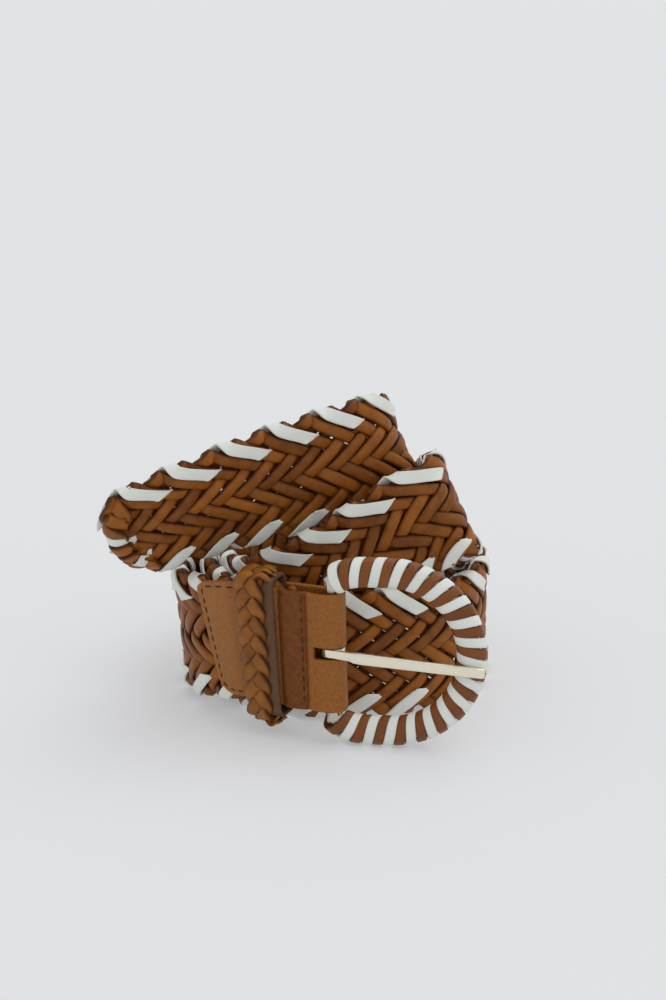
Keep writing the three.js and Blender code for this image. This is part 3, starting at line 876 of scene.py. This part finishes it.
@dataclass
class LeatherEnd:
    """The leather at the buckle: the fold round the bar, the tab on the strap and its stitches."""

    route: Route
    half_width: float = 18.0
    tab_rise: float = 1.5
    crease: float = 0.7
    swell: float = 0.55
    thickness: float = 1.6
    layer: float = 3.35
    bar_bend: float = 3.15
    bar_radius: float = 2.0
    fold_front: float = 6.6
    fold_back: float = 16.5
    slot_half_width: float = 1.8
    slot_reach: float = 4.5
    tab_start: float = 6.9
    tab_end: float = 38.9
    corner_top: float = 3.0
    corner_lower: float = 6.0
    seam_inset: float = 1.4
    stitch: float = 2.1
    stitch_gap: float = 0.9
    grid: float = 0.55
    crease_spread: float = 0.6
    swell_length: float = 8.3
    lift_start: float = 12.0
    lift_length: float = 20.0
    puff: float = 0.3
    puff_inset: float = 1.6
    seam_pull: float = 0.22
    seam_spread: float = 0.45
    pinches: tuple[tuple[float, float, float], ...] = ((15.2, 1.2, 0.6), (28.6, 1.3, 0.3))
    # The tab darkens toward the fold up to tone_end: partly darker leather there, partly painted shade
    # between the loop and the fold.
    tone_end: float = 16.5
    tone_fade: float = 1.5

    def _sheet(self, name: str, points: Array, keep: Array, tone: Array, bevel: float,
               material: bpy.types.Material) -> bpy.types.Object:
        """A leather sheet of real thickness from a grid of points on its middle surface.

        Args:
            name: The piece's name.
            points: The grid, rows by columns by 3.
            keep: Which of the grid's cells are leather.
            tone: A value from 0 to 1 at each point, where 1 is the darkest colour.
            bevel: How far its cut edges are rounded.
            material: The leather.

        Returns:
            The piece.
        """
        rows, columns = points.shape[:2]
        index = np.arange(rows * columns).reshape(rows, columns)
        quads = np.stack([index[:-1, :-1], index[:-1, 1:], index[1:, 1:], index[1:, :-1]], -1)[keep]
        used = np.unique(quads)
        new_index = np.zeros(rows * columns, int)
        new_index[used] = np.arange(len(used))
        mesh = bpy.data.meshes.new(name)
        mesh.from_pydata((points.reshape(-1, 3)[used] * MM).tolist(), [], new_index[quads].tolist())
        mesh.polygons.foreach_set("use_smooth", np.ones(len(mesh.polygons), bool))
        attribute = mesh.attributes.new("tone", "FLOAT", "POINT")
        attribute.data.foreach_set("value", tone.ravel()[used].astype(np.float32))
        mesh.materials.append(material)
        made = bpy.data.objects.new(name, mesh)
        bpy.context.scene.collection.objects.link(made)
        solid = made.modifiers.new("thickness", "SOLIDIFY")
        solid.thickness = self.thickness * MM
        solid.offset = 0
        rounding = made.modifiers.new("edges", "BEVEL")
        rounding.width = bevel * MM
        rounding.segments = 3
        rounding.limit_method = "ANGLE"
        rounding.angle_limit = math.radians(50)
        return made

    def _fold(self, material: bpy.types.Material) -> bpy.types.Object:
        """The strip folded round the bar, with its slot for the prong.

        Args:
            material: The leather.

        Returns:
            The piece.
        """
        angles = np.radians(np.linspace(90, -90, 19))
        front = np.arange(self.fold_front, self.bar_radius, -self.grid)
        back = np.arange(self.bar_radius, self.fold_back, self.grid * 2)
        length = np.concatenate([front, -np.cos(angles) * self.bar_bend, back])
        out = np.concatenate([np.full(len(front), self.layer), np.sin(angles) * self.bar_bend,
                              np.full(len(back), -self.layer)])
        rise = np.clip((self.fold_front - length) / (self.fold_front + self.bar_bend), 0, 1)
        outside = len(front) + len(angles) // 2 + 1
        out[:outside] += self.swell * np.sin(math.pi * rise[:outside])
        out[:len(front)] -= self.crease * np.exp(-((front - self.fold_front) / self.crease_spread) ** 2)
        inner = np.linspace(-self.slot_half_width, self.slot_half_width, 5)
        outer = np.linspace(self.slot_half_width, self.half_width, 22)
        height = np.concatenate([-outer[::-1], inner[1:-1], outer])
        points = self.route.beside(length[:, None], height[None, :], out[:, None])
        middle_length = (length[:-1] + length[1:]) / 2
        middle_height = (height[:-1] + height[1:]) / 2
        in_slot = (np.abs(middle_length)[:, None] < self.slot_reach) & (
            np.abs(middle_height)[None, :] < self.slot_half_width)
        tone = np.zeros(points.shape[:2])
        return self._sheet("buckle_fold_leather", points, ~in_slot, tone, 0.4, material)

    def _lift(self, length: Array) -> Array:
        """How far the tab is raised at some lengths, more toward its free end."""
        return self.tab_rise * np.clip((length - self.lift_start) / self.lift_length, 0, 1)

    def _tab_limits(self, length: Array) -> tuple[Array, Array]:
        """How far the tab reaches down and up at some lengths.

        Args:
            length: Lengths from the bar.

        Returns:
            The lower and the upper heights.
        """
        distance = np.maximum(self.tab_end - length, 0)

        def cut(radius: float) -> Array:
            """How much a rounded corner takes off the height.

            Args:
                radius: The corner's radius.

            Returns:
                The height lost at each length.
            """
            inside = np.minimum(distance, radius)
            return radius - np.sqrt(np.maximum(radius ** 2 - (radius - inside) ** 2, 0))

        lift = self._lift(length)
        low = -self.half_width + lift + cut(self.corner_lower)
        return low, self.half_width + lift - cut(self.corner_top)

    def _tab_out(self, length: Array, from_edge: Array) -> Array:
        """How far out the tab's middle surface lies.

        Args:
            length: Lengths from the bar.
            from_edge: Distances from the nearest long or free edge.

        Returns:
            The distances outward.
        """
        puff = self.puff * (1 - np.exp(-np.maximum(from_edge - self.puff_inset, 0) / self.puff_inset))
        pull = self.seam_pull * np.exp(-((from_edge - self.seam_inset) / self.seam_spread) ** 2)
        pinch = sum(deep * np.exp(-((length - spot) / wide) ** 2) for spot, wide, deep in self.pinches)
        fold = self.crease * np.exp(-((length - self.tab_start) / self.crease_spread) ** 2)
        swell = self.swell * np.sin(math.pi * np.clip((length - self.tab_start) / self.swell_length, 0, 1))
        return self.layer + puff - pull - pinch - fold + swell

    def _tab(self, material: bpy.types.Material) -> bpy.types.Object:
        """The stitched tab on the front of the strap.

        Args:
            material: The leather.

        Returns:
            The piece.
        """
        main = np.arange(self.tab_start, self.tab_end - self.corner_lower, self.grid)
        near = self.tab_end - self.corner_lower * (1 - np.sin(np.linspace(0, math.pi / 2, 16)))
        length = np.concatenate([main, near])
        share = np.linspace(0, 1, 68)
        low, high = self._tab_limits(length)
        height = low[:, None] + (high - low)[:, None] * share[None, :]
        from_edge = np.minimum(np.minimum(height - low[:, None], high[:, None] - height),
                               (self.tab_end - length)[:, None])
        out = self._tab_out(length[:, None] + 0 * height, from_edge)
        points = self.route.beside(length[:, None] + 0 * height, height, out)
        keep = np.ones((len(length) - 1, len(share) - 1), bool)
        # Darkening toward the fold: partly darker leather, partly painted shade between the loop and the
        # fold.
        tone = np.clip((self.tone_end - length) / self.tone_fade, 0, 1)[:, None] + 0 * height
        return self._sheet("tab_leather", points, keep, tone, 0.35, material)

    def _stitches(self, material: bpy.types.Material) -> bpy.types.Object:
        """The stitches round the tab and down the seam at the fold.

        Args:
            material: The thread.

        Returns:
            The joined piece.
        """
        inset = self.seam_inset
        end = self.tab_end - inset
        low, high = -self.half_width + inset, self.half_width - inset

        def corner(radius: float, level: float, first: float, last: float) -> list[tuple[float, float]]:
            """Points of a rounded corner of the seam.

            Args:
                radius: The corner's radius.
                level: The height of its middle.
                first: The angle that it starts at, in degrees.
                last: The angle that it ends at.

            Returns:
                Length and height pairs.
            """
            turn = np.radians(np.linspace(first, last, 8))
            return [(end - radius + radius * math.cos(a), level + radius * math.sin(a)) for a in turn]

        radius_top, radius_low = self.corner_top - inset, self.corner_lower - inset
        round_tab = [(28.0, high), *corner(radius_top, high - radius_top, 90, 0),
                     *corner(radius_low, low + radius_low, 0, -90), (28.0, low)]
        seam = [(self.tab_start + 0.8, high + 0.6), (self.tab_start + 0.8, low - 0.6)]
        parts = MeshParts(sides=8, squareness=0.9)
        rng = np.random.default_rng(STITCH_SEED)
        for line in (np.array(round_tab), np.array(seam)):
            gone = np.concatenate([[0], np.cumsum(np.linalg.norm(np.diff(line, axis=0), axis=1))])
            for start in np.arange(0.4, gone[-1] - self.stitch, self.stitch + self.stitch_gap):
                spots = start + np.linspace(0, self.stitch, 6)
                length = np.interp(spots, gone, line[:, 0])
                height = np.interp(spots, gone, line[:, 1]) + self._lift(length)
                bottom, top = self._tab_limits(length)
                from_edge = np.minimum(np.minimum(height - bottom, top - height), self.tab_end - length)
                out = (self._tab_out(length, from_edge) + self.thickness / 2 - 0.06
                       + 0.16 * np.sin(np.linspace(0, math.pi, 6)))
                centres = self.route.beside(length, height, out)
                thick = np.array([0.1, 0.24, 0.27, 0.27, 0.24, 0.1])
                parts.add_tube(centres, self.route.at(length)[3], thick, thick * 0.8, rng.uniform())
        return parts.build("tab_stitches", material)

    def build(self, groups: ShadingGroups) -> None:
        """Builds and places the leather end.

        Args:
            groups: The shared node groups.
        """
        place(self._fold(FOLD_LEATHER.material(groups)), Body.BELT, Slot.FOLD, "buckle_fold")
        place(self._tab(TAB_LEATHER.material(groups)), Body.BELT, Slot.TAB, "front_tab")
        place(self._stitches(THREAD.material(groups)), Body.BELT, Slot.TAB)


@dataclass
class KeeperLoop:
    """The plaited loop round strap and tab, its lining and its cut ends."""

    route: Route
    middle: float = 22.5
    half_height: float = 22.1
    front: float = 6.4
    back: float = -3.9
    corner: float = 3.2
    periods: int = 6
    sway: float = 2.45
    weave: float = 0.75
    strand_half_width: float = 2.2
    strand_half_thickness: float = 0.85
    steps: int = 324
    lining_inset: float = 1.0
    lining_side: float = -3.9
    lining_steps: int = 120
    ends_each: int = 7

    def _path(self, inset: float, steps: int) -> tuple[Array, Array]:
        """The loop's closed middle line as height and out pairs, with its outward normals.

        Args:
            inset: How far inside the plait's middle the line lies.
            steps: Its number of points.

        Returns:
            The points and the normals.
        """
        high, front, back = self.half_height - inset, self.front - inset, self.back + inset
        r = self.corner - inset
        corners = ((high - r, front - r, 0), (-high + r, front - r, 90),
                   (-high + r, back + r, 180), (high - r, back + r, 270))
        points = []
        for height, out, first in corners:
            for degrees in np.linspace(first, first + 90, 9):
                a = math.radians(degrees)
                points.append((height + r * math.cos(a), out + r * math.sin(a)))
        outline = np.array(points + points[:1])
        gone = np.concatenate([[0], np.cumsum(np.linalg.norm(np.diff(outline, axis=0), axis=1))])
        spots = np.arange(steps) / steps * gone[-1]
        line = np.stack([np.interp(spots, gone, outline[:, k]) for k in (0, 1)], -1)
        tangent = along_path(line, closed=True)
        return line, np.stack([tangent[:, 1], -tangent[:, 0]], -1)

    def _ring(self, line: Array, side: Array) -> Array:
        """Points on the strap's route for height and out pairs moved sideways along it."""
        return self.route.beside(self.middle + side, line[:, 0], line[:, 1])

    def _facing(self, normal: Array) -> Array:
        """Directions in space of normals given as height and out pairs."""
        _, _, top, out, _ = self.route.at(self.middle)
        return normal[:, :1] * top + normal[:, 1:] * out

    def _plait(self, material: bpy.types.Material) -> bpy.types.Object:
        """Three flat strands plaited round the loop.

        Args:
            material: The leather.

        Returns:
            The joined piece.
        """
        parts = MeshParts(sides=12, squareness=0.7)
        line, normal = self._path(0, self.steps)
        t = 2 * math.pi * self.periods * np.arange(self.steps) / self.steps
        for k in range(3):
            angle = t + 2 * math.pi * k / 3
            side = self.sway * np.sin(angle)
            lift = self.weave * np.sin(2 * angle)
            centres = self._ring(line + normal * lift[:, None], side)
            tone = 0.2 + 0.3 * k
            parts.add_tube(centres, self._facing(normal), self.strand_half_width,
                           self.strand_half_thickness, tone, closed=True)
        return parts.build("loop_plait", material)

    def _lining(self, material: bpy.types.Material) -> bpy.types.Object:
        """The plain strip under the plait, which shows on the buckle's side.

        Args:
            material: The leather.

        Returns:
            The piece.
        """
        parts = MeshParts(sides=12, squareness=0.5)
        line, normal = self._path(self.lining_inset, self.lining_steps)
        centres = self._ring(line, np.full(self.lining_steps, self.lining_side))
        parts.add_tube(centres, self._facing(normal), half_width=3.1, half_thickness=0.75,
                       tone=0.5, closed=True)
        return parts.build("loop_lining", material)

    def _ends(self, material: bpy.types.Material) -> bpy.types.Object:
        """The short cut ends of the plait's strands at the loop's top and foot.

        Args:
            material: The leather.

        Returns:
            The joined piece.
        """
        rng = np.random.default_rng(LOOP_SEED)
        parts = MeshParts(sides=8, squareness=0.8)
        for top in (1, -1):
            for i in range(self.ends_each):
                out = 1.2 + 0.75 * i
                start = np.array([-1.5, top * (self.half_height - 0.2), out])
                reach = np.array([-4.6 + rng.uniform(-0.8, 0.8), top * rng.uniform(-1.2, 1.4),
                                  rng.uniform(-0.5, 1.0)])
                bow = np.array([0, top * 1.5, 0.3])
                rows = np.array([start, start + reach * 0.5 + bow, start + reach])
                curve = smooth_through(rows, 5)
                centres = self.route.beside(self.middle + curve[:, 0], curve[:, 1], curve[:, 2])
                wide = np.linspace(1.1, 0.55, len(curve))
                facing = self._facing(np.tile([[top, 0.4]], (len(curve), 1)))
                parts.add_tube(centres, facing, wide, wide * 0.55, rng.uniform(0, 0.6))
        return parts.build("loop_ends", material)

    def build(self, groups: ShadingGroups) -> None:
        """Builds and places the loop.

        Args:
            groups: The shared node groups.
        """
        leather = LOOP_LEATHER.material(groups)
        place(self._plait(leather), Body.BELT, Slot.LOOP, "keeper_loop")
        place(self._lining(LINING_LEATHER.material(groups)), Body.BELT, Slot.LOOP)
        place(self._ends(leather), Body.BELT, Slot.LOOP)


@dataclass
class Buckle:
    """The ring wound with white and tan lace, and the prong."""

    route: Route
    height: float = 57.4
    reach: float = 45.0
    band_width: float = 9.0
    band_thickness: float = 7.0
    bar_end: float = 20.6
    fold_end: float = 18.7
    turn: float = 17.0
    turns: float = 18.6
    lace_half_thickness: float = 0.62
    lace_share: float = 0.2475
    look_ahead: float = 0.4
    steps_per_turn: int = 30
    prong_width: float = 3.0
    prong_thickness: float = 1.6
    prong_drop: float = 5.0
    prong_clearance: float = 0.3
    tip_inset: float = 0.4
    eye_radius: float = 3.05
    eye_half_width: float = 1.3
    eye_half_thickness: float = 0.55

    def _to_space(self, local: Array) -> Array:
        """Points in space for points in the buckle's own frame.

        Args:
            local: Rows of reach, height up the bar and distance toward the front.

        Returns:
            The points.
        """
        middle, along, top, out, _ = self.route.at(0.0)
        angle = math.radians(self.turn)
        across = -along * math.cos(angle) - out * math.sin(angle)
        front = out * math.cos(angle) - along * math.sin(angle)
        return middle + local[..., :1] * across + local[..., 1:2] * top + local[..., 2:] * front

    def _ring_line(self) -> Array:
        """The ring's middle line in its own plane, from beside the fold's top round to its foot.

        Returns:
            Rows of reach and height.
        """
        half = (self.height - self.band_width) / 2
        rise = half - self.bar_end
        shoulder = 3 * rise
        centre = self.reach - self.band_width / 2 - half
        curve = np.array([(0, self.bar_end), (0.45 * rise, self.bar_end + 0.74 * rise), (1.7 * rise, half),
                          (shoulder, half)])
        t = np.linspace(0, 1, 30)[:, None]
        bend = ((1 - t) ** 3 * curve[0] + 3 * (1 - t) ** 2 * t * curve[1] + 3 * (1 - t) * t ** 2 * curve[2]
                + t ** 3 * curve[3])
        turn = np.linspace(math.pi / 2, 0, 60)
        arc = np.stack([centre + half * np.cos(turn), half * np.sin(turn)], -1)
        upper = np.vstack([[(0, self.fold_end + 0.9)], bend, arc])
        return np.vstack([upper, upper[-2::-1] * (1, -1)])

    def _lace(self, name: str, shift: float, material: bpy.types.Material) -> bpy.types.Object:
        """One of the two laces wound round the ring.

        Args:
            name: The piece's name.
            shift: Where it starts, as a share of a full turn.
            material: Its leather.

        Returns:
            The piece.
        """
        line = self._ring_line()
        gone = np.concatenate([[0], np.cumsum(np.linalg.norm(np.diff(line, axis=0), axis=1))])
        pitch = gone[-1] / self.turns

        def on_ring(length: Array) -> Array:
            """Reach and height of the ring's middle line at some lengths along it."""
            inside = np.clip(length, 0, gone[-1])
            return np.stack([np.interp(inside, gone, line[:, c]) for c in (0, 1)], -1)

        parts = MeshParts(sides=14, squareness=0.45)
        thick = self.lace_half_thickness
        count = int(self.turns)
        rng = np.random.default_rng(BUCKLE_SEED + int(shift * 10))
        for k in range(count):
            around = np.linspace(0, 1, self.steps_per_turn + 1)
            spot = np.clip((k + shift + around) * pitch, 0, gone[-1])
            point = on_ring(spot)
            tangent = unit(on_ring(spot + self.look_ahead) - on_ring(spot - self.look_ahead))
            normal = np.stack([-tangent[:, 1], tangent[:, 0]], -1)
            angle = math.pi * 1.5 - 2 * math.pi * around
            width, depth = self.band_width / 2 - thick, self.band_thickness / 2 - thick
            offset = np.cos(angle) * width
            local = np.column_stack([point + normal * offset[:, None], np.sin(angle) * depth])
            face = np.column_stack([normal * (np.cos(angle) / width)[:, None], np.sin(angle) / depth])
            up = self._to_space(face) - self._to_space(np.zeros((1, 3)))
            wide = pitch * self.lace_share * rng.uniform(0.96, 1.02)
            parts.add_tube(self._to_space(local), unit(up), wide, thick, rng.uniform())
        return parts.build(name, material)

    def _prong(self, material: bpy.types.Material) -> bpy.types.Object:
        """The prong: a flat arm with a narrower neck, and the eye round the bar.

        Args:
            material: The metal.

        Returns:
            The piece.
        """
        tip_reach = self.reach - self.tip_inset
        tip_lift = self.band_thickness / 2 + self.prong_clearance + self.prong_thickness / 2
        fall = math.tan(math.radians(self.prong_drop))
        # Rows from the bar to the tip: reach, lift, width and thickness as shares.
        rows = np.array([(-0.055, 0.52, 0.84, 0.6), (0, 0.66, 0.86, 0.75), (0.06, 0.71, 0.86, 0.8),
                         (0.125, 0.78, 0.9, 0.85), (0.15, 0.86, 1.08, 1.1), (0.2, 0.92, 1.1, 1.1),
                         (0.6, 1, 1, 1), (0.9, 1, 1, 0.95), (0.985, 1, 0.96, 0.85), (1, 0.98, 0.8, 0.55)])
        reaches = rows[:, 0] * tip_reach
        centres = np.stack([reaches, -reaches * fall, rows[:, 1] * tip_lift], -1)
        space = self._to_space(centres)
        front = self._to_space(np.array([[0.0, 0.0, 1.0]])) - self._to_space(np.zeros((1, 3)))
        parts = MeshParts(sides=16, squareness=0.32)
        parts.add_tube(space, np.repeat(front, len(space), 0), rows[:, 2] * self.prong_width / 2,
                       rows[:, 3] * self.prong_thickness / 2, 0.5)
        angle = np.radians(np.arange(0, 360, 10))
        ring = np.stack([np.cos(angle), 0 * angle, np.sin(angle)], -1)
        eye = self._to_space(ring * self.eye_radius)
        up = self._to_space(ring) - self._to_space(np.zeros((1, 3)))
        parts.add_tube(eye, up, self.eye_half_width, self.eye_half_thickness, 0.5, closed=True)
        return parts.build("prong_arm", material)

    def build(self, groups: ShadingGroups, white: bpy.types.Material) -> None:
        """Builds and places the buckle's pieces.

        Args:
            groups: The shared node groups.
            white: The white lace's leather.
        """
        place(self._lace("buckle_lace_white", 0.0, white), Body.BUCKLE, Slot.LACE, "buckle_wrap")
        place(self._lace("buckle_lace_tan", 0.5, TAN_LACE.material(groups)), Body.BUCKLE, Slot.LACE)
        place(self._prong(PRONG_METAL.material()), Body.PRONG, Slot.PRONG, "prong")
        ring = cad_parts["buckle_ring"]
        ring.data.materials.clear()
        ring.data.materials.append(RING_METAL.material())


@dataclass
class Studio:
    """The pale floor, the soft lights and the camera."""

    camera_place: Colour = (0.010238, -0.716463, 0.278923)
    camera_target: Colour = (0.010238, -0.029836, 0.069)
    lens: float = 88.56
    sensor: float = 36.0
    floor_colour: Colour = (0.48, 0.485, 0.495)
    floor_glow: float = 0.31
    floor_half: float = 9.0
    sky: Colour = (0.97, 0.985, 1.0)
    sky_strength: float = 0.68
    glow_colour: Colour = (0.975, 0.985, 1.0)
    light_target: Colour = (0, 0, 0.04)

    def _light(self, name: str, position: Colour, spread: float, strength: float) -> None:
        """Adds a soft even light that shines toward the belt from far away.

        Args:
            name: The light's name.
            position: The side that it shines from.
            spread: Its width as an angle in degrees.
            strength: Its strength.
        """
        data = bpy.data.lights.new(name, "SUN")
        data.angle = math.radians(spread)
        data.energy = strength
        lamp = bpy.data.objects.new(name, data)
        lamp.location = position
        aim = Vector(self.light_target) - Vector(position)
        lamp.rotation_euler = aim.to_track_quat("-Z", "Y").to_euler()
        bpy.context.scene.collection.objects.link(lamp)

    def build(self) -> None:
        """Builds the floor, the lights and the camera."""
        mesh = bpy.data.meshes.new("floor")
        half = self.floor_half
        mesh.from_pydata([(-half, -half, 0), (half, -half, 0), (half, half, 0), (-half, half, 0)], [],
                         [(0, 1, 2, 3)])
        floor = bpy.data.objects.new("floor", mesh)
        paint = bpy.data.materials.new("floor_paper")
        paint.use_nodes = True
        shader = paint.node_tree.nodes["Principled BSDF"]
        shader.inputs["Base Color"].default_value = (*self.floor_colour, 1)
        shader.inputs["Roughness"].default_value = 0.9
        shader.inputs["Specular IOR Level"].default_value = 0.1
        shader.inputs["Emission Color"].default_value = (*self.glow_colour, 1)
        shader.inputs["Emission Strength"].default_value = self.floor_glow
        mesh.materials.append(paint)
        bpy.context.scene.collection.objects.link(floor)
        world = bpy.data.worlds.new("studio")
        world.use_nodes = True
        world.node_tree.nodes["Background"].inputs["Color"].default_value = (*self.sky, 1)
        world.node_tree.nodes["Background"].inputs["Strength"].default_value = self.sky_strength
        bpy.context.scene.world = world
        bpy.context.scene.view_settings.view_transform = "Standard"
        self._light("overhead", (0.5, 0.35, 1.3), spread=60, strength=0.75)
        self._light("front_sheen", (0.6, -0.8, 1.2), spread=30, strength=0.22)
        data = bpy.data.cameras.new("camera")
        data.sensor_fit = "VERTICAL"
        data.sensor_height = self.sensor
        data.lens = self.lens
        camera = bpy.data.objects.new("camera", data)
        camera.location = self.camera_place
        aim = Vector(self.camera_target) - Vector(self.camera_place)
        camera.rotation_euler = aim.to_track_quat("-Z", "Y").to_euler()
        bpy.context.scene.collection.objects.link(camera)
        bpy.context.scene.camera = camera
        log.info("studio ready")


def main() -> None:
    """Builds the whole belt in order."""
    logging.basicConfig(level=logging.INFO, format="%(message)s")
    Studio().build()
    groups = ShadingGroups()
    route = Route(StrapSizes())
    white = WHITE_LACE.material(groups)
    BraidedStrap(route).build(TAN_STRAND.material(groups), white)
    LeatherEnd(route).build(groups)
    KeeperLoop(route).build(groups)
    Buckle(route).build(groups, white)
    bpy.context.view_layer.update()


if __name__ == "__main__":
    main()
